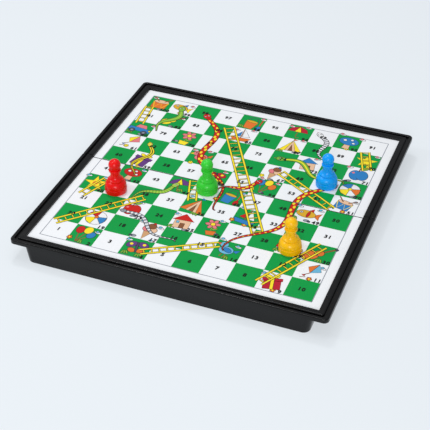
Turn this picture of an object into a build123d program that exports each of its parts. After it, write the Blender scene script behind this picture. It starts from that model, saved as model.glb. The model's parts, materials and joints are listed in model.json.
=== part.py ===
from build123d import *
import os
from math import radians, tan

# A folding magnetic snakes and ladders board, opened flat, with its four pawns.
# Millimetres. X runs along the near edge, Y away from the player, Z up. The origin
# lies on the table, in the middle of the fold.

os.makedirs("parts", exist_ok=True)

# The board, opened flat
BOARD_SIDE = 250.0
RIM_TOP = 17.3
FLANGE_DEPTH = 3.4
FLANGE_CORNER = 4.0
FOLD_GAP = 0.6

# The raised frame, from its outer edge inwards
RIM_WIDTH = 2.7
GROOVE_WIDTH = 1.8
GROOVE_DEPTH = 1.6
GROOVE_CORNER = 2.0
RIDGE_WIDTH = 4.8
RIDGE_CREST = 1.5
RIDGE_FALL = 0.35
FRAME_STEP = 2.1
RIM_ROUND = 0.8
GROOVE_ROUND = 0.4
RIDGE_ROUND = 0.9
INNER_ROUND = 0.45
FOLD_NOTCH = 0.8

# The playing surface
STEEL_THICKNESS = 0.3
PRINT_THICKNESS = 0.2
SHEET_CLEARANCE = 0.15
PRINT_MARGIN = 7.7
SHEET_SETBACK = 0.2
CELLS = 10

# The hollow trays under it
DECK_THICKNESS = 2.0
WALL = 2.2
WALL_CORNER = 5.5
END_INSET = 11.3
END_DRAFT = 9.0
LONG_WALL_INSET = 0.12
LONG_WALL_DRAFT = 1.5
RIB_HEIGHT = 1.5
RIB_THICKNESS = 1.2
RIB_SPACING = 54.0
FOLD_WALL = 1.7

# The lips that slide into each other when the board is folded shut
LIP_HEIGHT = 4.2
LIP_THICKNESS = 1.0
LIP_CLEARANCE = 0.2
LIP_SETBACK = 1.15
SNAP_LENGTH = 20.0
SNAP_RADIUS = 0.5
SNAP_PROUD = 0.3
SNAP_CLEARANCE = 0.1

# The two hinges in the fold
HINGE_HEIGHT = 2.0
HINGE_FROM_END = 31.5
KNUCKLE_RADIUS = 1.85
KNUCKLE_LENGTH = 8.0
KNUCKLE_GAP = 0.2
KNUCKLE_CLEARANCE = 0.3
PIN_RADIUS = 0.75
PIN_CLEARANCE = 0.05
PIN_SETBACK = 0.4

# The pawns, heights from the playing surface
PAWN_HEIGHT = 29.6
HEAD_RADIUS = 4.85
COLLAR_RADIUS = 4.85
COLLAR_THICKNESS = 1.5
COLLAR_DROP = 9.9
NECK_RADIUS = 3.75
LEDGE_RADIUS = 6.2
LEDGE_HEIGHT = 10.4
LEDGE_THICKNESS = 1.2
WAIST_RADIUS = 5.8
BULGE = 1.1
SHOULDER_RADIUS = 8.35
FOOT_RADIUS = 8.75
FOOT_HEIGHT = 4.4
FOOT_ROUND = 0.35
COLLAR_ROUND = 0.45
LEDGE_ROUND = 0.3
CAP_THICKNESS = 1.0
CAP_SETBACK = 0.35
CAP_FLOOR = 0.6
CUP_WALL = 1.4
CUP_CLEARANCE = 0.05
MAGNET_RADIUS = 4.0
MAGNET_THICKNESS = 2.5

# Each pawn's place, in cells right of and beyond the middle of the board
PAWN_PLACES = {
    "red": (-3.61, -1.66),
    "green": (-0.47, -0.45),
    "blue": (3.53, 1.49),
    "yellow": (3.48, -2.66),
}

# Lines and heights that follow from those sizes
HALF = BOARD_SIDE / 2
FOLD_FACE = FOLD_GAP / 2
FOLD_INNER = FOLD_FACE + FOLD_WALL
OPENING = HALF - RIM_WIDTH - GROOVE_WIDTH - RIDGE_WIDTH
CREST_LINE = HALF - RIM_WIDTH - GROOVE_WIDTH - RIDGE_CREST
CELL = (OPENING - PRINT_MARGIN) * 2 / CELLS
PRINT_TOP = RIM_TOP - FRAME_STEP
STEEL_TOP = PRINT_TOP - PRINT_THICKNESS
DECK_TOP = STEEL_TOP - STEEL_THICKNESS
DECK_UNDERSIDE = DECK_TOP - DECK_THICKNESS
FLANGE_UNDERSIDE = RIM_TOP - FLANGE_DEPTH
END_SLOPE = tan(radians(END_DRAFT))
LONG_SLOPE = tan(radians(LONG_WALL_DRAFT))
BODY_TOP_X = HALF - END_INSET
BODY_TOP_Y = HALF - LONG_WALL_INSET
BODY_X = BODY_TOP_X - FLANGE_UNDERSIDE * END_SLOPE
BODY_Y = BODY_TOP_Y - FLANGE_UNDERSIDE * LONG_SLOPE
HINGE_PLACE = BODY_X - HINGE_FROM_END
INNER_LIP = LIP_THICKNESS + LIP_CLEARANCE
FOLD_WALL_BOTTOM = HINGE_HEIGHT + LIP_CLEARANCE
KNUCKLE_STEP = KNUCKLE_LENGTH + KNUCKLE_GAP
NEAR, FAR = -1, 1


def square(side_x, side_y, corner):
    """One rounded rectangle about the middle of the board, from its half sides."""
    RectangleRounded(2 * side_x, 2 * side_y, corner)


def fold_strip(half_width, half_length=HALF):
    """The strip along the fold, from its half width and half length."""
    Rectangle(2 * half_length, 2 * half_width)


def edges_at(part, height, nearest, furthest):
    """The edges at one height whose middles lie between two distances from the centre."""
    level = part.edges().filter_by_position(Axis.Z, height - 0.01, height + 0.01)
    return level.filter_by(
        lambda edge: nearest < max(abs(edge.center().X), abs(edge.center().Y)) < furthest
    )


# The frame and body of the whole board in one piece, before it is cut at the fold
GROOVE_OUT = HALF - RIM_WIDTH
GROOVE_IN = GROOVE_OUT - GROOVE_WIDTH
GROOVE_MIDDLE = (GROOVE_OUT + GROOVE_IN) / 2
with BuildPart() as blank:
    with BuildSketch(Plane.XY):
        square(BODY_X, BODY_Y, WALL_CORNER)
    with BuildSketch(Plane.XY.offset(FLANGE_UNDERSIDE)):
        square(BODY_TOP_X, BODY_TOP_Y, WALL_CORNER)
    loft()
    with BuildSketch(Plane.XY.offset(FLANGE_UNDERSIDE)):
        square(HALF, HALF, FLANGE_CORNER)
    extrude(amount=FLANGE_DEPTH)
    fillet(blank.edges().group_by(Axis.Z)[-1], RIM_ROUND)
    with BuildSketch(Plane.XY.offset(RIM_TOP)):
        square(GROOVE_OUT, GROOVE_OUT, GROOVE_CORNER)
        RectangleRounded(2 * GROOVE_IN, 2 * GROOVE_IN, GROOVE_CORNER, mode=Mode.SUBTRACT)
    extrude(amount=-GROOVE_DEPTH, mode=Mode.SUBTRACT)
    fillet(edges_at(blank, RIM_TOP, GROOVE_MIDDLE, GROOVE_OUT + GROOVE_WIDTH / 2), GROOVE_ROUND)
    fillet(edges_at(blank, RIM_TOP, GROOVE_IN - GROOVE_WIDTH, GROOVE_MIDDLE), RIDGE_ROUND)
    with BuildSketch(Plane.XY.offset(RIM_TOP)):
        Rectangle(2 * CREST_LINE, 2 * CREST_LINE)
    with BuildSketch(Plane.XY.offset(RIM_TOP - RIDGE_FALL)):
        Rectangle(2 * OPENING, 2 * OPENING)
    loft(mode=Mode.SUBTRACT)
    with BuildSketch(Plane.XY.offset(RIM_TOP)):
        Rectangle(2 * OPENING, 2 * OPENING)
    extrude(amount=DECK_TOP - RIM_TOP, mode=Mode.SUBTRACT)
    fillet(edges_at(blank, RIM_TOP - RIDGE_FALL, OPENING - 1, OPENING + 1), INNER_ROUND)


def half_shell(side):
    """One half of the board as a hollow tray, before its lip and hinge are cut."""
    pocket_far = BODY_Y - WALL
    pocket_top_far = BODY_Y + DECK_UNDERSIDE * LONG_SLOPE - WALL
    pocket_x = BODY_X - WALL
    pocket_top_x = BODY_X + DECK_UNDERSIDE * END_SLOPE - WALL
    with BuildPart() as shell:
        add(blank.part)
        with BuildSketch(Plane.XY):
            with Locations((0, side * (FOLD_FACE + HALF / 2))):
                Rectangle(BOARD_SIDE, HALF)
        extrude(amount=RIM_TOP, mode=Mode.INTERSECT)
        corners = shell.edges().filter_by(Axis.Z).filter_by(
            lambda edge: abs(edge.center().X) > HALF - 0.01
            and abs(edge.center().Y) < FOLD_FACE + 0.01
        )
        fillet(corners, FOLD_NOTCH)
        with BuildSketch(Plane.XY):
            with Locations((0, side * (FOLD_INNER + pocket_far) / 2)):
                RectangleRounded(2 * pocket_x, pocket_far - FOLD_INNER, WALL_CORNER - WALL)
        extrude(amount=LIP_HEIGHT, mode=Mode.SUBTRACT)
        with BuildSketch(Plane.XY.offset(LIP_HEIGHT)):
            with Locations((0, side * (FOLD_INNER + pocket_far) / 2)):
                RectangleRounded(2 * pocket_x, pocket_far - FOLD_INNER, WALL_CORNER - WALL)
        with BuildSketch(Plane.XY.offset(DECK_UNDERSIDE)):
            with Locations((0, side * (FOLD_INNER + pocket_top_far) / 2)):
                RectangleRounded(2 * pocket_top_x, pocket_top_far - FOLD_INNER, WALL_CORNER - WALL)
        loft(mode=Mode.SUBTRACT)
        with BuildSketch(Plane.XY.offset(DECK_UNDERSIDE)):
            with Locations((0, side * (FOLD_INNER + pocket_far) / 2)):
                with GridLocations(RIB_SPACING, 1, 3, 1):
                    Rectangle(RIB_THICKNESS, pocket_far - FOLD_INNER)
                Rectangle(2 * pocket_x, RIB_THICKNESS)
        extrude(amount=-RIB_HEIGHT)
    return shell.part


def knuckles(offsets, radius, end_gap=0.0, mode=Mode.ADD):
    """Barrels about the hinge line, one at each offset from the middle of each hinge."""
    length = KNUCKLE_LENGTH + 2 * end_gap
    for hinge in (-HINGE_PLACE, HINGE_PLACE):
        for offset_x in offsets:
            with BuildSketch(Plane.YZ.offset(hinge + offset_x - length / 2)) as barrel:
                with Locations((0, HINGE_HEIGHT)):
                    Circle(radius)
            extrude(barrel.sketch, amount=length, mode=mode)


def snap_bar(side, face, proud, radius, length, mode):
    """The snap's rounded bar or groove, standing proud of a lip's upright face."""
    with BuildSketch(Plane.YZ.offset(-length / 2)) as bar:
        with Locations((side * (face + proud - radius), HINGE_HEIGHT)):
            Circle(radius)
    extrude(bar.sketch, amount=length, mode=mode)


NEAR_KNUCKLES = (-KNUCKLE_STEP, KNUCKLE_STEP)
FAR_KNUCKLES = (0,)
RELIEF_RADIUS = KNUCKLE_RADIUS + KNUCKLE_CLEARANCE
FAR_LIP_X = BODY_X - INNER_LIP
FAR_LIP_Y = BODY_Y - INNER_LIP
NEAR_LIP_X = BODY_X - LIP_THICKNESS
NEAR_LIP_Y = BODY_Y - LIP_THICKNESS

# The near half carries the outer lip, the outer knuckles and both hinge pins
with BuildPart() as near_tray:
    add(half_shell(NEAR))
    with BuildSketch(Plane.XY):
        square(NEAR_LIP_X, NEAR_LIP_Y, WALL_CORNER - LIP_THICKNESS)
        Rectangle(BOARD_SIDE, 2 * FOLD_INNER, mode=Mode.SUBTRACT)
    extrude(amount=LIP_HEIGHT, mode=Mode.SUBTRACT)
    with BuildSketch(Plane.XY):
        fold_strip(FOLD_INNER, NEAR_LIP_X)
    extrude(amount=FOLD_WALL_BOTTOM, mode=Mode.SUBTRACT)
    knuckles(FAR_KNUCKLES, RELIEF_RADIUS, KNUCKLE_GAP, Mode.SUBTRACT)
    knuckles(NEAR_KNUCKLES, KNUCKLE_RADIUS)
    knuckles(NEAR_KNUCKLES, PIN_RADIUS, mode=Mode.SUBTRACT)
    snap_bar(
        NEAR, FAR_LIP_Y, SNAP_PROUD + SNAP_CLEARANCE, SNAP_RADIUS + SNAP_CLEARANCE,
        SNAP_LENGTH + 2 * SNAP_CLEARANCE, Mode.SUBTRACT,
    )
near_tray.part.label = "near_tray"
export_step(near_tray.part, "parts/near_tray.step")

# The far half carries the inner lip, which starts clear of the fold, and the middle knuckles
FAR_LIP_START = FOLD_INNER + LIP_SETBACK
with BuildPart() as far_tray:
    add(half_shell(FAR))
    with BuildSketch(Plane.XY):
        Rectangle(BOARD_SIDE, BOARD_SIDE)
        RectangleRounded(
            2 * FAR_LIP_X, 2 * FAR_LIP_Y, WALL_CORNER - INNER_LIP, mode=Mode.SUBTRACT
        )
        with Locations((0, FOLD_INNER + LIP_SETBACK / 2)):
            Rectangle(BOARD_SIDE, LIP_SETBACK)
    extrude(amount=LIP_HEIGHT, mode=Mode.SUBTRACT)
    with BuildSketch(Plane.XY):
        fold_strip(FOLD_INNER)
    extrude(amount=FOLD_WALL_BOTTOM, mode=Mode.SUBTRACT)
    knuckles(NEAR_KNUCKLES, RELIEF_RADIUS, KNUCKLE_GAP, Mode.SUBTRACT)
    knuckles(FAR_KNUCKLES, KNUCKLE_RADIUS)
    knuckles(FAR_KNUCKLES, PIN_RADIUS + PIN_CLEARANCE, mode=Mode.SUBTRACT)
    snap_bar(FAR, FAR_LIP_Y, SNAP_PROUD, SNAP_RADIUS, SNAP_LENGTH, Mode.ADD)
far_tray.part.label = "far_tray"
export_step(far_tray.part, "parts/far_tray.step")

# A steel sheet and the printed sheet on it lie in the recess of each half
SHEET_REACH = OPENING - SHEET_CLEARANCE
SHEET_START = FOLD_FACE + SHEET_SETBACK
SHEETS = (("steel", DECK_TOP, STEEL_THICKNESS), ("print", STEEL_TOP, PRINT_THICKNESS))
for half_name, half_side in (("near", NEAR), ("far", FAR)):
    for sheet_name, sheet_bottom, thickness in SHEETS:
        with BuildPart() as sheet:
            with BuildSketch(Plane.XY.offset(sheet_bottom)):
                with Locations((0, half_side * (SHEET_START + SHEET_REACH) / 2)):
                    Rectangle(2 * SHEET_REACH, SHEET_REACH - SHEET_START)
            extrude(amount=thickness)
        sheet.part.label = f"{half_name}_{sheet_name}_sheet"
        export_step(sheet.part, f"parts/{sheet.part.label}.step")

# A wire pin holds the three knuckles of each hinge
PIN_LENGTH = 2 * KNUCKLE_STEP + KNUCKLE_LENGTH - 2 * PIN_SETBACK
for pin_name, hinge_x in (("left", -HINGE_PLACE), ("right", HINGE_PLACE)):
    with BuildPart() as hinge_pin:
        with BuildSketch(Plane.YZ.offset(hinge_x - PIN_LENGTH / 2)):
            with Locations((0, HINGE_HEIGHT)):
                Circle(PIN_RADIUS)
        extrude(amount=PIN_LENGTH)
    hinge_pin.part.label = f"hinge_pin_{pin_name}"
    export_step(hinge_pin.part, f"parts/{hinge_pin.part.label}.step")

# Heights and radii inside a pawn
CUP_TOP = CAP_FLOOR + MAGNET_THICKNESS
CUP_BORE = MAGNET_RADIUS + CUP_CLEARANCE
CUP_OUT = CUP_BORE + CUP_WALL
COLLAR_MIDDLE = PAWN_HEIGHT - COLLAR_DROP


def pawn_body(foot, upright):
    """A turned pawn: foot, bulge, ledge, flared neck, collar and ball, over a socket."""
    head_middle = PAWN_HEIGHT - HEAD_RADIUS
    bulge_foot = (SHOULDER_RADIUS, FOOT_HEIGHT)
    bulge_top = (WAIST_RADIUS, LEDGE_HEIGHT)
    ledge_top = (LEDGE_RADIUS, LEDGE_HEIGHT + LEDGE_THICKNESS)
    neck_bottom = (NECK_RADIUS, (ledge_top[1] + COLLAR_MIDDLE) / 2)
    with BuildPart() as body:
        with BuildSketch(upright):
            with BuildLine():
                Polyline(
                    bulge_foot, (FOOT_RADIUS, FOOT_HEIGHT), (FOOT_RADIUS, CAP_THICKNESS),
                    (0, CAP_THICKNESS), (0, head_middle), (NECK_RADIUS, head_middle), neck_bottom,
                )
                TangentArc(neck_bottom, ledge_top, tangent=(0, -1))
                Polyline(ledge_top, (LEDGE_RADIUS, LEDGE_HEIGHT), bulge_top)
                SagittaArc(bulge_top, bulge_foot, BULGE)
            make_face()
            with Locations((COLLAR_RADIUS / 2, COLLAR_MIDDLE)):
                Rectangle(COLLAR_RADIUS, COLLAR_THICKNESS)
            with BuildLine():
                ball_foot, ball_top = (0, head_middle - HEAD_RADIUS), (0, PAWN_HEIGHT)
                ThreePointArc(ball_foot, (HEAD_RADIUS, head_middle), ball_top)
                Line(ball_top, ball_foot)
            make_face()
        revolve(axis=Axis(foot.origin, (0, 0, 1)))
        with BuildSketch(foot.offset(CAP_THICKNESS)):
            Circle(CUP_OUT + CUP_CLEARANCE)
        extrude(amount=CUP_TOP + CUP_CLEARANCE - CAP_THICKNESS, mode=Mode.SUBTRACT)
        rings = body.edges().filter_by(GeomType.CIRCLE)
        foot_ring = rings.filter_by(lambda edge: abs(edge.radius - FOOT_RADIUS) < 0.001)
        fillet(foot_ring.sort_by(Axis.Z)[-1], FOOT_ROUND)
        collar_ring = rings.filter_by(lambda edge: abs(edge.radius - COLLAR_RADIUS) < 0.001)
        fillet(collar_ring, COLLAR_ROUND)
        ledge_ring = rings.filter_by(lambda edge: abs(edge.radius - LEDGE_RADIUS) < 0.001)
        fillet(ledge_ring, LEDGE_ROUND)
    return body.part


def pawn_cap(foot):
    """The base cap: a disc with a cup on it that holds the magnet and plugs the socket."""
    with BuildPart() as cap:
        with BuildSketch(foot):
            Circle(FOOT_RADIUS - CAP_SETBACK)
        extrude(amount=CAP_THICKNESS)
        with BuildSketch(foot.offset(CAP_THICKNESS)):
            Circle(CUP_OUT)
        extrude(amount=CUP_TOP - CAP_THICKNESS)
        with BuildSketch(foot.offset(CAP_FLOOR)):
            Circle(CUP_BORE)
        extrude(amount=MAGNET_THICKNESS, mode=Mode.SUBTRACT)
    return cap.part


def pawn_magnet(foot):
    """The disc magnet that lies on the floor of the cap's cup."""
    with BuildPart() as magnet:
        with BuildSketch(foot.offset(CAP_FLOOR)):
            Circle(MAGNET_RADIUS)
        extrude(amount=MAGNET_THICKNESS)
    return magnet.part


for colour, (column, row) in PAWN_PLACES.items():
    pawn_foot = Plane((column * CELL, row * CELL, PRINT_TOP))
    pawn_upright = Plane(pawn_foot.origin, x_dir=(1, 0, 0), z_dir=(0, -1, 0))
    pieces = {
        "body": pawn_body(pawn_foot, pawn_upright),
        "magnet": pawn_magnet(pawn_foot),
        "base_cap": pawn_cap(pawn_foot),
    }
    for piece_name, piece in pieces.items():
        piece.label = f"{colour}_pawn_{piece_name}"
        export_step(piece, f"parts/{piece.label}.step")
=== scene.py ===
import json
import math

import bmesh
import bpy
import numpy as np
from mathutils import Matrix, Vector


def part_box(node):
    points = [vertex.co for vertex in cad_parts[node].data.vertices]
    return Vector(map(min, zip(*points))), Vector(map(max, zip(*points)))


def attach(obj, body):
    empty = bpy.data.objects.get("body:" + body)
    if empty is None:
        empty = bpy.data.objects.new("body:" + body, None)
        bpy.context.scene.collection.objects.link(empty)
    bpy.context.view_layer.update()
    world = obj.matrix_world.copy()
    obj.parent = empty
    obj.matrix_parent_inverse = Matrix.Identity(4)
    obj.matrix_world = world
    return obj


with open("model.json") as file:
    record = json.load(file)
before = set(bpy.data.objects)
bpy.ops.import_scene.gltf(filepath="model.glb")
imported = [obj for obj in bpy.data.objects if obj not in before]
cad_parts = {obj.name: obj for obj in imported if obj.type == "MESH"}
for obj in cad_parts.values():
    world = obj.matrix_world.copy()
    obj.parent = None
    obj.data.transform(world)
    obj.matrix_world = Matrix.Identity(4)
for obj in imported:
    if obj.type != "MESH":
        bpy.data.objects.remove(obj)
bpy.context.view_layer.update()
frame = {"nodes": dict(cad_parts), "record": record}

# A folding snakes and ladders board with four magnetic pawns. Metres, in the frame of
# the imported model: X along the near edge, Y away from the player, Z up.

MM = 0.001
CELLS = 10

# The printed sheets: a white margin, then the squares. Each half's sheet starts a little
# way from the middle of the fold.
PRINT_MARGIN = 7.7 * MM
SHEET_CLEARANCE = 0.15 * MM
sheet_low, sheet_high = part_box("near_print_sheet")
SHEET_TOP = sheet_high.z
SHEET_START = -sheet_high.y
GRID_REACH = sheet_high.x + SHEET_CLEARANCE - PRINT_MARGIN
CELL = 2 * GRID_REACH / CELLS
HALVES = {"near": -1, "far": 1}

# The printed shapes lie over one another, each level a little above the last
INK_STEP = 0.008 * MM
CHEQUER_LEVEL = 1
BORDER_LEVEL = 2
PICTURE_LEVEL = 3
LADDER_LEVEL = 13
SNAKE_LEVEL = 17
NUMBER_LEVEL = 23
PICTURE_STEP = 0.25
OUTLINE_STEP = 0.12

# Widths of drawn lines, in cells
OUTLINE = 0.018
EYE_OUTLINE = 0.012
STROKE = 0.035
BORDER = 0.03


def tone(red, green, blue):
    """A colour given as it looks on a screen, 0 to 255, as the shader's own linear light."""
    def linear(level):
        level = level / 255
        return level / 12.92 if level <= 0.04045 else ((level + 0.055) / 1.055) ** 2.4
    return (linear(red), linear(green), linear(blue), 1.0)


# Inks of the print
GREEN = tone(0, 158, 70)
BLACK = tone(24, 24, 26)
LINE = tone(44, 36, 34)
WHITE = tone(244, 245, 246)
RED = tone(206, 34, 28)
CRIMSON = tone(190, 30, 52)
YELLOW = tone(255, 230, 48)
GOLD = tone(226, 176, 48)
ORANGE = tone(232, 120, 48)
PEACH = tone(238, 196, 160)
TAN = tone(212, 164, 118)
BROWN = tone(140, 88, 56)
BLUE = tone(48, 130, 196)
SKY = tone(112, 186, 220)
PURPLE = tone(104, 62, 132)
PINK = tone(232, 128, 134)
LEAF = tone(126, 186, 62)
LIME = tone(170, 206, 74)
GREY = tone(148, 152, 162)
SLATE = tone(74, 78, 96)


class Print:
    """Flat printed shapes, in cells from the near left corner, each with an ink and a level.
    A point lies at its place in cells, less half the board, times a cell, and at its level
    times the ink step above the sheet."""

    def __init__(self):
        self.points, self.faces, self.inks = [], [], []
        self.count = 0

    def shape(self, outline, ink, level):
        """One filled outline of points in cells."""
        outline = np.asarray(outline, float)
        heights = np.full((len(outline), 1), level * INK_STEP)
        self.points.append(np.hstack([(outline - CELLS / 2) * CELL, heights]))
        self.faces.append(list(range(self.count, self.count + len(outline))))
        self.inks.append(ink)
        self.count += len(outline)

    def band(self, path, widths, ink, level):
        """A ribbon along a path: each point is moved half the width to both sides."""
        left, right = ribbon(path, widths)
        for step in range(len(left) - 1):
            corners = [left[step], right[step], right[step + 1], left[step + 1]]
            self.shape(corners, ink, level)

    def outlined(self, outline, ink, level, width=OUTLINE):
        """A filled outline with a thin drawn line round it."""
        outline = np.asarray(outline, float)
        self.shape(outline, ink, level)
        self.band(np.vstack([outline, outline[:2]]), width, LINE, level + OUTLINE_STEP)

    def pieces(self, name, material):
        """One mesh for each half of the board, cut at the fold."""
        for half, side in HALVES.items():
            self.piece(f"{half}_{name}", half, side, material)

    def piece(self, name, half, side, material):
        """The shapes on one side of the fold, as a mesh that rides on that half."""
        mesh = bpy.data.meshes.new(name)
        points = np.vstack(self.points) + (0, 0, SHEET_TOP)
        mesh.from_pydata(points.tolist(), [], self.faces)
        colours = mesh.color_attributes.new("ink", "FLOAT_COLOR", "CORNER")
        corner_counts = [len(face) for face in self.faces]
        colours.data.foreach_set("color", np.repeat(self.inks, corner_counts, axis=0).ravel())
        solid = bmesh.new()
        solid.from_mesh(mesh)
        everything = solid.verts[:] + solid.edges[:] + solid.faces[:]
        bmesh.ops.bisect_plane(
            solid, geom=everything, plane_co=(0, side * SHEET_START, 0),
            plane_no=(0, side, 0), clear_inner=True,
        )
        for face in solid.faces:
            if face.normal.z < 0:
                face.normal_flip()
        solid.to_mesh(mesh)
        solid.free()
        mesh.materials.append(material)
        piece = bpy.data.objects.new(name, mesh)
        bpy.context.scene.collection.objects.link(piece)
        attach(piece, f"{half}_half")


def ribbon(path, widths):
    """Left and right edges of a ribbon: the path's points, moved along its normals."""
    path = np.asarray(path, float)
    along = np.gradient(path, axis=0)
    along /= np.linalg.norm(along, axis=1, keepdims=True) + 1e-12
    across = np.stack([-along[:, 1], along[:, 0]], axis=1)
    half = np.broadcast_to(np.asarray(widths, float), (len(path),))[:, None] / 2
    return path + across * half, path - across * half


def oval(x, y, across, up, turn=0.0, steps=22):
    """Points round an ellipse: cosine across and sine up, turned by some degrees."""
    around = np.linspace(0, 2 * np.pi, steps, endpoint=False)
    points = np.stack([across * np.cos(around), up * np.sin(around)], axis=1)
    turn = math.radians(turn)
    rotate = np.array([[math.cos(turn), math.sin(turn)], [-math.sin(turn), math.cos(turn)]])
    return points @ rotate + (x, y)


def wave(head, tail, swings, reach, steps=90):
    """A winding line: the straight way from head to tail, plus a sine across it that
    fades in at the head and out at the tail."""
    head, tail = np.array(head, float), np.array(tail, float)
    t = np.linspace(0, 1, steps)[:, None]
    way = tail - head
    across = np.array([-way[1], way[0]]) / np.linalg.norm(way)
    sway = reach * np.sin(2 * np.pi * swings * t) * np.sin(np.pi * t) ** 0.35
    return head + way * t + across * sway


# The chequer and the fine line round it
squares = Print()
for row in range(CELLS):
    for column in range(CELLS):
        if (row + column) % 2:
            corners = [(column, row), (column + 1, row), (column + 1, row + 1), (column, row + 1)]
            squares.shape(corners, GREEN, CHEQUER_LEVEL)
grid_corners = [(0, 0), (CELLS, 0), (CELLS, CELLS), (0, CELLS)]
for first, second in zip(grid_corners, grid_corners[1:] + grid_corners[:1]):
    squares.band([first, second], BORDER, GREY, BORDER_LEVEL)


# Pictures: each is a few simple shapes in a square from -0.5 to 0.5
def balloons(draw):
    """Three ovals on strings that meet at the foot."""
    draw.line([(-0.22, 0.1), (0, -0.42)], BROWN)
    draw.line([(0.05, 0.2), (0, -0.42)], BROWN)
    draw.line([(0.26, 0.05), (0, -0.42)], BROWN)
    draw.oval(-0.22, 0.16, 0.15, 0.19, 12, RED)
    draw.oval(0.26, 0.1, 0.14, 0.18, -14, BLUE)
    draw.oval(0.04, 0.27, 0.15, 0.19, 0, YELLOW)


def kite(draw):
    """A lozenge of two halves with a bowed tail."""
    draw.line([(0.02, -0.12), (-0.12, -0.28), (-0.02, -0.38), (-0.2, -0.46)], BROWN)
    draw.shape([(0.14, 0.46), (-0.16, 0.16), (0.02, -0.12)], ORANGE)
    draw.shape([(0.14, 0.46), (0.02, -0.12), (0.36, 0.1)], SKY)
    draw.shape([(-0.19, -0.3), (-0.06, -0.26), (-0.1, -0.36)], RED)


def ball(draw):
    """A disc with three coloured panels round a button."""
    draw.oval(0, 0, 0.36, 0.36, 0, WHITE)
    draw.shape([(0, 0.04), (-0.3, 0.2), (-0.12, 0.34), (0.06, 0.36)], RED)
    draw.shape([(0, 0.04), (0.34, 0.1), (0.34, -0.12), (0.24, -0.27)], BLUE)
    draw.shape([(0, 0.04), (-0.08, -0.35), (-0.28, -0.23), (-0.35, -0.06)], YELLOW)
    draw.oval(0, 0.04, 0.07, 0.07, 0, ORANGE)


def flower(draw):
    """Six oval petals in a ring, on a stem in a pot."""
    draw.line([(0, 0.1), (0, -0.3)], LEAF, 0.05)
    draw.oval(0.12, -0.1, 0.13, 0.055, 30, LEAF)
    for turn in range(0, 360, 60):
        x, y = 0.17 * math.cos(math.radians(turn)), 0.17 * math.sin(math.radians(turn))
        draw.oval(x, 0.18 + y, 0.12, 0.08, turn, PINK)
    draw.oval(0, 0.18, 0.09, 0.09, 0, YELLOW)
    draw.shape([(-0.2, -0.22), (0.2, -0.22), (0.14, -0.46), (-0.14, -0.46)], ORANGE)


def boat(draw):
    """Two sails on a mast over a hull."""
    draw.line([(0, -0.18), (0, 0.45)], BROWN, 0.04)
    draw.shape([(0.04, -0.1), (0.34, -0.08), (0.04, 0.4)], WHITE)
    draw.shape([(-0.04, -0.1), (-0.26, -0.08), (-0.04, 0.28)], RED)
    draw.shape([(-0.4, -0.18), (0.42, -0.18), (0.26, -0.4), (-0.26, -0.4)], BLUE)


def mushroom(draw):
    """A spotted oval cap on a stem."""
    draw.shape([(-0.12, -0.4), (0.14, -0.4), (0.1, 0.02), (-0.08, 0.02)], PEACH)
    draw.oval(0, 0.08, 0.36, 0.24, 0, RED)
    draw.oval(-0.16, 0.12, 0.07, 0.06, 0, WHITE)
    draw.oval(0.08, 0.2, 0.06, 0.05, 0, WHITE)
    draw.oval(0.18, 0.02, 0.06, 0.05, 0, WHITE)


def fish(draw):
    """An oval body with a tail, a fin and a stripe."""
    draw.shape([(0.18, 0), (0.45, 0.2), (0.4, 0), (0.45, -0.2)], ORANGE)
    draw.shape([(-0.06, 0.16), (0.12, 0.34), (0.16, 0.1)], RED)
    draw.oval(-0.06, 0, 0.34, 0.2, 0, GOLD)
    draw.oval(0.02, 0, 0.05, 0.17, 0, RED)
    draw.oval(-0.24, 0.05, 0.055, 0.055, 0, WHITE)
    draw.dot(-0.24, 0.05, 0.025, BLACK)


def butterfly(draw):
    """Four oval wings round a thin body."""
    draw.oval(-0.2, 0.14, 0.2, 0.14, 30, PURPLE)
    draw.oval(0.2, 0.14, 0.2, 0.14, -30, PURPLE)
    draw.oval(-0.15, -0.16, 0.14, 0.11, -30, ORANGE)
    draw.oval(0.15, -0.16, 0.14, 0.11, 30, ORANGE)
    draw.dot(-0.22, 0.16, 0.06, YELLOW)
    draw.dot(0.22, 0.16, 0.06, YELLOW)
    draw.oval(0, 0, 0.045, 0.28, 0, SLATE)


def bird(draw):
    """An oval body, wing and head, with a beak and legs."""
    draw.line([(-0.02, -0.2), (-0.04, -0.42)], BROWN)
    draw.line([(0.1, -0.2), (0.1, -0.42)], BROWN)
    draw.shape([(0.2, 0.02), (0.46, 0.18), (0.4, -0.04)], BLUE)
    draw.oval(0.02, -0.04, 0.26, 0.2, 10, SKY)
    draw.oval(0.06, -0.02, 0.16, 0.1, -20, BLUE)
    draw.oval(-0.18, 0.2, 0.15, 0.14, 0, SKY)
    draw.shape([(-0.3, 0.24), (-0.48, 0.16), (-0.3, 0.12)], ORANGE)
    draw.dot(-0.2, 0.23, 0.03, BLACK)


def apple(draw):
    """Two ovals side by side under a stalk and a leaf."""
    draw.line([(0, 0.2), (0.06, 0.42)], BROWN, 0.05)
    draw.oval(0.18, 0.34, 0.14, 0.06, 20, LEAF)
    draw.oval(-0.1, -0.04, 0.22, 0.29, 0, RED)
    draw.oval(0.12, -0.04, 0.21, 0.28, 0, RED)
    draw.dot(0.0, -0.02, 0.17, RED)
    draw.dot(-0.18, 0.1, 0.05, PINK)


def car(draw):
    """A body and a cabin on two wheels."""
    draw.shape([(-0.22, 0.02), (-0.14, 0.24), (0.16, 0.24), (0.26, 0.02)], SKY)
    draw.shape([(-0.44, -0.2), (-0.42, 0.02), (0.42, 0.04), (0.46, -0.2)], RED)
    draw.oval(-0.24, -0.22, 0.12, 0.12, 0, SLATE)
    draw.oval(0.26, -0.22, 0.12, 0.12, 0, SLATE)
    draw.dot(-0.24, -0.22, 0.05, GREY)
    draw.dot(0.26, -0.22, 0.05, GREY)
    draw.oval(0.41, -0.04, 0.05, 0.05, 0, YELLOW)


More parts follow.
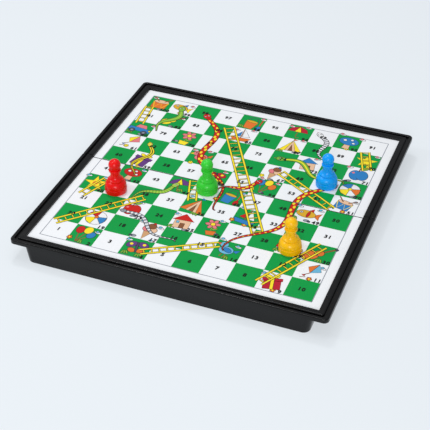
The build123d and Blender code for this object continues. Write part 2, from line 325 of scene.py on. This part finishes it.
def tent(draw):
    """Three nested triangles under a pennant."""
    draw.shape([(-0.42, -0.34), (0, 0.36), (0.42, -0.34)], ORANGE)
    draw.shape([(-0.2, -0.34), (0, 0.36), (0.2, -0.34)], PEACH)
    draw.shape([(-0.08, -0.34), (0, 0.08), (0.08, -0.34)], BROWN)
    draw.shape([(0, 0.36), (0, 0.48), (0.16, 0.42)], BLUE)


def umbrella(draw):
    """Three panels over a hooked stick."""
    draw.line([(0, 0.3), (0, -0.3), (0.06, -0.4), (0.14, -0.32)], BROWN)
    draw.shape([(-0.4, 0.02), (-0.3, 0.24), (0, 0.4), (-0.13, 0.02)], PURPLE)
    draw.shape([(-0.13, 0.02), (0, 0.4), (0.13, 0.02)], YELLOW)
    draw.shape([(0.13, 0.02), (0, 0.4), (0.3, 0.24), (0.4, 0.02)], PURPLE)


def drum(draw):
    """A tub with a zigzag cord and two sticks."""
    draw.shape([(-0.3, 0.16), (0.3, 0.16), (0.28, -0.3), (-0.28, -0.3)], BLUE)
    draw.line([(-0.3, 0.12), (-0.15, -0.28), (0, 0.1), (0.15, -0.28), (0.3, 0.12)], YELLOW)
    draw.oval(0, 0.16, 0.3, 0.11, 0, PEACH)
    draw.line([(-0.1, 0.16), (-0.36, 0.4)], BROWN, 0.05)
    draw.line([(0.1, 0.18), (0.36, 0.42)], BROWN, 0.05)


def present(draw):
    """A box and lid with a crossed ribbon and a bow."""
    draw.shape([(-0.3, -0.38), (0.3, -0.38), (0.3, 0.08), (-0.3, 0.08)], CRIMSON)
    draw.shape([(-0.35, 0.06), (0.35, 0.06), (0.35, 0.2), (-0.35, 0.2)], CRIMSON)
    draw.shape([(-0.06, -0.38), (0.06, -0.38), (0.06, 0.2), (-0.06, 0.2)], YELLOW)
    draw.oval(-0.12, 0.28, 0.13, 0.07, -25, YELLOW)
    draw.oval(0.12, 0.28, 0.13, 0.07, 25, YELLOW)


def ice_cream(draw):
    """Three scoops and a cherry on a cone."""
    draw.shape([(-0.16, 0.02), (0.16, 0.02), (0, -0.46)], TAN)
    draw.oval(-0.1, 0.1, 0.15, 0.14, 0, PINK)
    draw.oval(0.11, 0.1, 0.15, 0.14, 0, PEACH)
    draw.oval(0, 0.27, 0.15, 0.14, 0, BROWN)
    draw.oval(0.02, 0.42, 0.05, 0.05, 0, RED)


def house(draw):
    """Walls, a gable roof, a door and a window."""
    draw.shape([(-0.28, -0.38), (0.28, -0.38), (0.28, 0.08), (-0.28, 0.08)], PEACH)
    draw.shape([(-0.38, 0.06), (0.38, 0.06), (0, 0.42)], RED)
    draw.shape([(-0.06, -0.38), (0.1, -0.38), (0.1, -0.1), (-0.06, -0.1)], BROWN)
    draw.shape([(-0.22, -0.12), (-0.12, -0.12), (-0.12, 0), (-0.22, 0)], SKY)


def guitar(draw):
    """Two ovals and a neck."""
    draw.line([(0.06, 0.06), (0.36, 0.42)], BROWN, 0.07)
    draw.oval(-0.16, -0.18, 0.23, 0.2, 40, ORANGE)
    draw.oval(0.02, 0.02, 0.15, 0.14, 40, ORANGE)
    draw.dot(-0.06, -0.07, 0.07, SLATE)
    draw.shape([(0.32, 0.46), (0.42, 0.38), (0.46, 0.46), (0.4, 0.5)], SLATE)


def star(draw):
    """Ten points round a centre, far and near in turn."""
    around = np.radians(np.arange(90, 450, 36))
    reach = np.where(np.arange(10) % 2 == 0, 0.44, 0.18)
    draw.shape(np.stack([reach * np.cos(around), reach * np.sin(around)], axis=1), YELLOW)
    draw.dot(0, 0, 0.1, ORANGE)


def bucket(draw):
    """A pail with a handle, and a spade beside it."""
    draw.line([(-0.2, 0.1), (-0.12, 0.36), (0.12, 0.36), (0.2, 0.1)], SLATE)
    draw.shape([(-0.24, 0.1), (0.22, 0.1), (0.15, -0.38), (-0.17, -0.38)], BLUE)
    draw.oval(-0.01, 0.1, 0.23, 0.07, 0, GOLD)
    draw.line([(0.3, 0.36), (0.34, -0.1)], RED, 0.05)
    draw.oval(0.35, -0.22, 0.09, 0.15, 0, RED)


def scatter(draw, chance):
    """Small things round a picture's foot and sky: tufts, stones, clouds and blossoms."""
    for side in (-1, 1):
        x, y = side * chance.uniform(0.26, 0.4) - 0.1 * (side + 1), chance.uniform(-0.44, -0.34)
        kind = chance.integers(4)
        if kind == 0:
            for lean in (-24, 0, 24):
                draw.oval(x + lean * 0.003, y + 0.04, 0.035, 0.1, lean, LEAF)
        elif kind == 1:
            draw.oval(x, y, 0.1, 0.06, 8, GREY)
            draw.oval(x + side * 0.09, y - 0.02, 0.06, 0.045, 0, SLATE)
        elif kind == 2:
            for turn in range(0, 360, 72):
                petal = math.radians(turn)
                draw.oval(x + 0.06 * math.cos(petal), y + 0.06 * math.sin(petal), 0.04, 0.04, 0, ORANGE)
            draw.dot(x, y, 0.035, YELLOW)
        x, y = side * chance.uniform(0.28, 0.4), chance.uniform(0.3, 0.42)
        if chance.uniform() < 0.5:
            draw.oval(x, y, 0.12, 0.05, 0, WHITE)
            draw.oval(x - 0.03, y + 0.04, 0.06, 0.05, 0, SKY)


class Picture:
    """Draws one picture's shapes into a print, turned, scaled and set in its cell. Each
    shape lies a small step above the last."""

    def __init__(self, sheet, place, size, turn, swap):
        turn = math.radians(turn)
        self.sheet, self.place, self.swap, self.level = sheet, place, swap, PICTURE_LEVEL
        self.rotate = size * np.array(
            [[math.cos(turn), math.sin(turn)], [-math.sin(turn), math.cos(turn)]]
        )

    def set_in(self, points):
        """A shape's points, rotated and moved to the cell, on a new step."""
        self.level += PICTURE_STEP
        return np.asarray(points, float) @ self.rotate + self.place

    def shape(self, points, ink):
        """A filled outline with a drawn line round it."""
        placed = self.set_in(points)
        self.sheet.outlined(placed, self.swap.get(ink, ink), self.level)

    def oval(self, x, y, across, up, turn, ink):
        """An outlined ellipse."""
        self.shape(oval(x, y, across, up, turn), ink)

    def dot(self, x, y, radius, ink):
        """A filled disc with no outline."""
        placed = self.set_in(oval(x, y, radius, radius))
        self.sheet.shape(placed, self.swap.get(ink, ink), self.level)

    def line(self, points, ink, width=STROKE):
        """A drawn line through some points."""
        placed = self.set_in(points)
        self.sheet.band(placed, width, ink, self.level)


MOTIFS = [
    balloons, kite, ball, flower, boat, mushroom, fish, butterfly, bird, apple, car,
    tent, umbrella, drum, present, ice_cream, house, guitar, star, bucket,
]


def number_cell(number):
    """Column and row of a numbered square: rows run left to right and back in turn."""
    row, step = divmod(number - 1, CELLS)
    return (step, row) if row % 2 == 0 else (CELLS - 1 - step, row)


# The second picture of a kind swaps some of its inks
SWAPS = (
    {},
    {RED: BLUE, BLUE: ORANGE, ORANGE: YELLOW, SKY: PINK, PURPLE: CRIMSON, CRIMSON: PURPLE},
)

# Squares with a picture in them, chosen for an even scatter over the board
PICTURED = [
    2, 4, 9, 11, 14, 17, 19, 23, 25, 26, 29, 30, 34, 36, 40, 42, 44, 46, 49, 51,
    54, 56, 59, 61, 64, 67, 70, 71, 73, 78, 80, 82, 85, 87, 90, 92, 94, 96, 99, 100,
]
PICTURE_PLACE = (0.47, 0.52)
PICTURE_TURN = 14
MOTIF_STRIDE = 7
chance = np.random.default_rng(11)
pictures = Print()
for order, number in enumerate(PICTURED):
    column, row = number_cell(number)
    place = np.array([column, row]) + PICTURE_PLACE + chance.uniform(-0.05, 0.05, 2)
    size = chance.uniform(0.98, 1.12)
    turn = chance.uniform(-PICTURE_TURN, PICTURE_TURN)
    draw = Picture(pictures, place, size, turn, SWAPS[order // len(MOTIFS)])
    scatter(draw, chance)
    motif = MOTIFS[(order * MOTIF_STRIDE) % len(MOTIFS)]
    motif(draw)

# Ladders: foot, top and width in cells
LADDERS = [
    ((7.15, 2.75), (3.78, 8.85), 0.4), ((9.7, 7.9), (9.3, 9.1), 0.32),
    ((9.15, 5.1), (6.7, 6.62), 0.28), ((4.25, 3.75), (3.85, 4.95), 0.3),
    ((0.15, 0.85), (2.55, 3.3), 0.28), ((3.7, 0.35), (6.1, 1.72), 0.24),
    ((8.05, 0.3), (9.5, 2.95), 0.3), ((0.3, 2.65), (0.78, 3.85), 0.28),
    ((0.3, 7.85), (0.18, 9.15), 0.3),
]
RAIL = 0.06
RUNG = 0.03
RAIL_LINE = 0.04
RUNG_STEP = 0.27


def draw_ladder(foot, top, width):
    """A ladder: straight rails half the width to each side of the way from foot to top,
    and rungs across it at even steps, each a dark band under a yellow one."""
    foot, top = np.array(foot), np.array(top)
    length = np.linalg.norm(top - foot)
    along = (top - foot) / length
    across = np.array([-along[1], along[0]]) * width / 2
    for place in np.arange(RUNG_STEP / 2, length, RUNG_STEP):
        rung = [foot + along * place - across, foot + along * place + across]
        ladders.band(rung, RUNG + RAIL_LINE, LINE, LADDER_LEVEL)
        ladders.band(rung, RUNG, YELLOW, LADDER_LEVEL + 1)
    for side in (-1, 1):
        rail = [foot + side * across, top + side * across]
        ladders.band(rail, RAIL + RAIL_LINE, LINE, LADDER_LEVEL + 2)
        ladders.band(rail, RAIL, YELLOW, LADDER_LEVEL + 3)


ladders = Print()
for ladder in LADDERS:
    draw_ladder(*ladder)

# Snakes: head, tail, swings, reach, width, body ink, pattern ink and kind of pattern
SNAKES = [
    ((2.7, 9.25), (5.25, 3.5), 1.6, 0.42, 0.18, RED, YELLOW, "spots"),
    ((8.75, 6.4), (6.35, 1.45), 1.3, -0.4, 0.17, RED, YELLOW, "spots"),
    ((6.45, 7.5), (9.1, 6.75), 1.2, 0.3, 0.16, LEAF, YELLOW, "stripe"),
    ((7.35, 9.6), (8.1, 7.8), 1.1, 0.22, 0.14, WHITE, SLATE, "rings"),
    ((1.35, 6.55), (1.55, 4.45), 1.1, 0.28, 0.12, YELLOW, BLACK, "stripe"),
    ((1.5, 9.4), (1.15, 7.55), 1.0, 0.24, 0.17, LEAF, LIME, "stripe"),
    ((2.2, 2.3), (4.6, 1.3), 1.1, 0.24, 0.11, GREY, WHITE, "rings"),
    ((3.3, 4.4), (2.1, 3.1), 1.0, 0.2, 0.14, LIME, LEAF, "rings"),
    ((6.1, 5.7), (4.9, 4.7), 0.8, 0.2, 0.14, RED, YELLOW, "spots"),
]
snakes = Print()


def draw_snake(head, tail, swings, reach, width, body, mark, kind):
    """A snake: a winding ribbon whose width is a constant and a sine of the way along,
    thinned to the tail by its cube, with spots, rings or a stripe, an oval head, eyes and
    a tongue."""
    path = wave(head, tail, swings, reach)
    t = np.linspace(0, 1, len(path))
    widths = width * (0.72 + 0.5 * np.sin(np.pi * np.minimum(t * 1.4, 1))) * (1 - t ** 3 * 0.92)
    snakes.band(path, widths + 0.05, LINE, SNAKE_LEVEL)
    snakes.band(path, widths, body, SNAKE_LEVEL + 1)
    if kind == "spots":
        way = np.gradient(path, axis=0)
        way /= np.linalg.norm(way, axis=1, keepdims=True)
        run = np.concatenate([[0], np.cumsum(np.linalg.norm(np.diff(path, axis=0), axis=1))])
        for count, place in enumerate(np.arange(width * 1.3, run[-1] - width, width * 1.15)):
            step = int(np.searchsorted(run, place))
            aside = np.array([-way[step, 1], way[step, 0]]) * widths[step] * 0.2
            centre = path[step] + aside * (1 if count % 2 else -1)
            turn = math.degrees(math.atan2(way[step, 1], way[step, 0]))
            spot = oval(*centre, widths[step] * 0.42, widths[step] * 0.26, turn)
            snakes.shape(spot, mark, SNAKE_LEVEL + 2)
    elif kind == "rings":
        for step in range(4, len(path) - 4, 5):
            snakes.band(path[step:step + 3], widths[step:step + 3], mark, SNAKE_LEVEL + 2)
    else:
        snakes.band(path, widths * 0.3, mark, SNAKE_LEVEL + 2)
    facing = path[0] - path[3]
    turn = math.degrees(math.atan2(facing[1], facing[0]))
    facing /= np.linalg.norm(facing)
    aside = np.array([-facing[1], facing[0]])
    nose = path[0] + facing * width * 1.1
    snakes.band([nose, nose + facing * width * 0.8], 0.025, CRIMSON, SNAKE_LEVEL)
    brow = path[0] + facing * width * 0.3
    snakes.outlined(oval(*brow, width * 1.15, width * 0.84, turn), body, SNAKE_LEVEL + 3)
    for side in (-1, 1):
        eye = path[0] + facing * width * 0.45 + aside * side * width * 0.4
        pupil = eye + facing * width * 0.06
        snakes.outlined(oval(*eye, width * 0.22, width * 0.2), WHITE, SNAKE_LEVEL + 4, EYE_OUTLINE)
        snakes.shape(oval(*pupil, width * 0.1, width * 0.1), BLACK, SNAKE_LEVEL + 5)


for snake in SNAKES:
    draw_snake(*snake)


# Numbers: a digit's slant and boldness are shares of its height, and its height and the
# step to the next digit are in cells and in heights
DIGIT_SLANT = 0.05
DIGIT_BOLD = 0.042
DIGIT_SCALE = 0.235
DIGIT_ADVANCE = 0.6
DIGIT_MIDDLE = 0.35
PLAIN_PLACE = (0.5, 0.5)
CORNER_PLACE = (0.86, 0.1)


def glyph(letter):
    """One digit's outline as flat points and faces, slanted and made bold."""
    curve = bpy.data.curves.new("digit", "FONT")
    curve.body, curve.size = letter, 1.0
    curve.shear, curve.offset = DIGIT_SLANT, DIGIT_BOLD
    holder = bpy.data.objects.new("digit", curve)
    mesh = bpy.data.meshes.new_from_object(holder)
    points = np.array([vertex.co[:2] for vertex in mesh.vertices])
    faces = [list(face.vertices) for face in mesh.polygons]
    bpy.data.objects.remove(holder)
    bpy.data.meshes.remove(mesh)
    bpy.data.curves.remove(curve)
    return points, faces


DIGITS = {letter: glyph(letter) for letter in "0123456789"}
numbers = Print()
for number in range(1, CELLS * CELLS + 1):
    centre = np.array(number_cell(number)) + (CORNER_PLACE if number in PICTURED else PLAIN_PLACE)
    word = str(number)
    start = -DIGIT_ADVANCE * len(word) / 2
    for place, letter in enumerate(word):
        points, faces = DIGITS[letter]
        shift = np.array([start + DIGIT_ADVANCE * place, -DIGIT_MIDDLE])
        placed = centre + (points + shift) * DIGIT_SCALE
        for face in faces:
            numbers.shape(placed[face], BLACK, NUMBER_LEVEL)


# A Mix node's sockets for colours, by number
MIX_FACTOR, MIX_FIRST, MIX_SECOND, MIX_RESULT = 0, 6, 7, 2


def material(name):
    """A new node material with its main shader."""
    made = bpy.data.materials.new(name)
    made.use_nodes = True
    nodes, links = made.node_tree.nodes, made.node_tree.links
    return made, nodes, links, nodes["Principled BSDF"]


def noise(nodes, links, scale, detail):
    """Noise on the piece's own Object coordinates."""
    place = nodes.new("ShaderNodeTexCoord")
    made = nodes.new("ShaderNodeTexNoise")
    made.inputs["Scale"].default_value = scale
    made.inputs["Detail"].default_value = detail
    links.new(place.outputs["Object"], made.inputs["Vector"])
    return made.outputs["Fac"]


def spread(nodes, links, source, low, high):
    """A value between two limits that follows a noise."""
    made = nodes.new("ShaderNodeMapRange")
    made.inputs["From Min"].default_value = 0.3
    made.inputs["From Max"].default_value = 0.7
    made.inputs["To Min"].default_value = low
    made.inputs["To Max"].default_value = high
    links.new(source, made.inputs["Value"])
    return made.outputs["Result"]


def bump(nodes, links, shader, source, depth, strength):
    """Fine relief of some depth on a shader's normal."""
    made = nodes.new("ShaderNodeBump")
    made.inputs["Strength"].default_value = strength
    made.inputs["Distance"].default_value = depth
    links.new(source, made.inputs["Height"])
    links.new(made.outputs["Normal"], shader.inputs["Normal"])


def tinted(nodes, links, source, low, high):
    """A colour that runs between two others as a noise does."""
    made = nodes.new("ShaderNodeMix")
    made.data_type = "RGBA"
    made.inputs[MIX_FIRST].default_value = low
    made.inputs[MIX_SECOND].default_value = high
    links.new(spread(nodes, links, source, 0, 1), made.inputs[MIX_FACTOR])
    return made.outputs[MIX_RESULT]


def black_plastic():
    """Black moulded plastic: a fine eroded grain, a satin sheen that varies a little."""
    made, nodes, links, shader = material("black_moulded_plastic")
    grain = noise(nodes, links, 2600, 4)
    cloud = noise(nodes, links, 45, 3)
    links.new(tinted(nodes, links, cloud, tone(3, 3, 4), tone(8, 8, 9)), shader.inputs["Base Color"])
    links.new(spread(nodes, links, cloud, 0.24, 0.3), shader.inputs["Roughness"])
    shader.inputs["Specular IOR Level"].default_value = 0.3
    bump(nodes, links, shader, grain, 0.02 * MM, 0.4)
    return made


def laminate(name, coloured):
    """Printed sheet under clear film: faint paper mottle, a satin coat and a slight wave. The
    coloured one takes its inks from the print's own attribute."""
    made, nodes, links, shader = material(name)
    mottle = noise(nodes, links, 900, 3)
    if coloured:
        ink = nodes.new("ShaderNodeAttribute")
        ink.attribute_name = "ink"
        faded = nodes.new("ShaderNodeMix")
        faded.data_type, faded.blend_type = "RGBA", "MULTIPLY"
        faded.inputs[MIX_FACTOR].default_value = 1.0
        links.new(ink.outputs["Color"], faded.inputs[MIX_FIRST])
        paper = tinted(nodes, links, mottle, (0.93, 0.93, 0.93, 1), (1.0, 1.0, 1.0, 1))
        links.new(paper, faded.inputs[MIX_SECOND])
        links.new(faded.outputs[MIX_RESULT], shader.inputs["Base Color"])
    else:
        paper = tinted(nodes, links, mottle, tone(240, 242, 245), tone(246, 247, 249))
        links.new(paper, shader.inputs["Base Color"])
    shader.inputs["Roughness"].default_value = 0.42
    shader.inputs["Specular IOR Level"].default_value = 0.12
    shader.inputs["Coat Weight"].default_value = 0.04
    shader.inputs["Coat Roughness"].default_value = 0.18
    wavy = noise(nodes, links, 60, 2)
    bump(nodes, links, shader, wavy, 0.05 * MM, 0.25)
    return made


def pawn_plastic(name, deep, light):
    """Moulded pawn plastic with a soft gloss and faint flow marks."""
    made, nodes, links, shader = material(name)
    flow = noise(nodes, links, 160, 3)
    links.new(tinted(nodes, links, flow, deep, light), shader.inputs["Base Color"])
    links.new(spread(nodes, links, flow, 0.28, 0.33), shader.inputs["Roughness"])
    shader.inputs["Specular IOR Level"].default_value = 0.32
    shader.inputs["Coat Weight"].default_value = 0.06
    shader.inputs["Coat Roughness"].default_value = 0.2
    bump(nodes, links, shader, flow, 0.008 * MM, 0.15)
    return made


def metal(name, dark, light, roughness, scale):
    """Drawn or rolled metal with fine scratches."""
    made, nodes, links, shader = material(name)
    scratch = noise(nodes, links, scale, 4)
    links.new(tinted(nodes, links, scratch, dark, light), shader.inputs["Base Color"])
    gloss = spread(nodes, links, scratch, roughness - 0.08, roughness + 0.08)
    links.new(gloss, shader.inputs["Roughness"])
    shader.inputs["Metallic"].default_value = 1.0
    bump(nodes, links, shader, scratch, 0.01 * MM, 0.4)
    return made


def ferrite():
    """Sintered magnet: dark grey, dull and finely pitted."""
    made, nodes, links, shader = material("ferrite")
    pits = noise(nodes, links, 3000, 4)
    grey = tinted(nodes, links, pits, tone(52, 52, 56), tone(74, 74, 78))
    links.new(grey, shader.inputs["Base Color"])
    shader.inputs["Roughness"].default_value = 0.55
    bump(nodes, links, shader, pits, 0.03 * MM, 0.6)
    return made


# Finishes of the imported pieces, by slot, and each pawn's darker and lighter tone
PAWN_TONES = {
    "red": (tone(236, 0, 0), tone(244, 2, 1)),
    "green": (tone(48, 204, 48), tone(60, 214, 60)),
    "blue": (tone(0, 158, 255), tone(0, 168, 255)),
    "yellow": (tone(255, 188, 0), tone(255, 198, 0)),
}
FINISHES = {
    "moulded_tray": black_plastic(),
    "steel_sheet": metal("rolled_steel", tone(150, 152, 156), tone(182, 184, 188), 0.35, 700),
    "printed_sheet": laminate("printed_white", False),
    "hinge_wire": metal("drawn_wire", tone(150, 150, 152), tone(196, 196, 198), 0.28, 1800),
    "magnet": ferrite(),
}
for colour, (deep, light) in PAWN_TONES.items():
    FINISHES[f"{colour}_pawn"] = pawn_plastic(f"{colour}_pawn_plastic", deep, light)
for subpart in frame["record"]["subparts"]:
    node = frame["nodes"][subpart["node"]]
    finish = FINISHES[subpart["material_slot"]]
    if not node.material_slots:
        node.data.materials.append(finish)
    for slot in node.material_slots:
        slot.material = finish

inked = laminate("printed_ink", True)
for name, sheet in {
    "print_squares": squares, "print_pictures": pictures, "print_ladders": ladders,
    "print_snakes": snakes, "print_numbers": numbers,
}.items():
    sheet.pieces(name, inked)


# The floor, which isn't part of the object. What the camera and reflections see of it is
# partly a glow of the background's own colour, and the rest takes the light and shadow.
FLOOR_REACH = 12.0
FLOOR_TONE = tone(233, 239, 244)
FLOOR_GLOW_TONE = tone(235, 241, 246)
FLOOR_GLOW = 0.62


def pale_floor():
    """Pale matt floor whose glow is a share of what camera and glossy rays see."""
    made, nodes, links, shader = material("pale_floor")
    shader.inputs["Base Color"].default_value = FLOOR_TONE
    shader.inputs["Roughness"].default_value = 0.8
    glow = nodes.new("ShaderNodeEmission")
    glow.inputs["Color"].default_value = FLOOR_GLOW_TONE
    ray = nodes.new("ShaderNodeLightPath")
    seen = nodes.new("ShaderNodeMath")
    seen.operation = "MAXIMUM"
    links.new(ray.outputs["Is Camera Ray"], seen.inputs[0])
    links.new(ray.outputs["Is Glossy Ray"], seen.inputs[1])
    share = nodes.new("ShaderNodeMath")
    share.operation = "MULTIPLY"
    share.inputs[1].default_value = FLOOR_GLOW
    links.new(seen.outputs[0], share.inputs[0])
    blend = nodes.new("ShaderNodeMixShader")
    links.new(share.outputs[0], blend.inputs[0])
    links.new(shader.outputs[0], blend.inputs[1])
    links.new(glow.outputs[0], blend.inputs[2])
    links.new(blend.outputs[0], nodes["Material Output"].inputs["Surface"])
    return made


floor_mesh = bpy.data.meshes.new("floor")
floor_corners = np.array([(-1, -1, 0), (1, -1, 0), (1, 1, 0), (-1, 1, 0)]) * FLOOR_REACH
floor_mesh.from_pydata(floor_corners.tolist(), [], [(0, 1, 2, 3)])
floor_mesh.materials.append(pale_floor())
floor = bpy.data.objects.new("floor", floor_mesh)
bpy.context.scene.collection.objects.link(floor)


def soft_box(name, place, side, power):
    """A square studio light that faces the middle of the board."""
    light = bpy.data.lights.new(name, "AREA")
    light.shape, light.size, light.energy = "SQUARE", side, power
    lamp = bpy.data.objects.new(name, light)
    lamp.location = place
    lamp.rotation_mode = "QUATERNION"
    lamp.rotation_quaternion = (-Vector(place)).to_track_quat("-Z", "Y")
    bpy.context.scene.collection.objects.link(lamp)


# Place in metres, side in metres and power in watts of each light
soft_box("top_light", (-0.1, 0.05, 1.2), 0.6, 2.6)
soft_box("left_light", (-0.8, -0.35, 0.9), 0.28, 2.6)
soft_box("back_light", (-0.38, 0.42, 1.2), 0.2, 3.8)
soft_box("front_light", (0.35, -1.2, 0.55), 0.4, 6.4)
world = bpy.data.worlds.new("studio")
world.use_nodes = True
background = world.node_tree.nodes["Background"]
background.inputs["Color"].default_value = (0.93, 0.96, 1.0, 1)
background.inputs["Strength"].default_value = 0.4
bpy.context.scene.world = world
bpy.context.scene.view_settings.view_transform = "Standard"

# The camera, placed by a fit to the board's corners in the photograph
CAMERA_PLACE = Vector((265.6, -700.3, 553.0)) * MM
CAMERA_TARGET = Vector((7.5, -37.8, 15.2)) * MM
CAMERA_LENS = 96.24
camera_data = bpy.data.cameras.new("camera")
camera_data.sensor_width = 36.0
camera_data.lens = CAMERA_LENS
camera = bpy.data.objects.new("camera", camera_data)
camera.location = CAMERA_PLACE
camera.rotation_mode = "QUATERNION"
camera.rotation_quaternion = (CAMERA_TARGET - CAMERA_PLACE).to_track_quat("-Z", "Y")
camera_data.clip_start, camera_data.clip_end = 0.05, 20.0
bpy.context.scene.collection.objects.link(camera)
bpy.context.scene.camera = camera
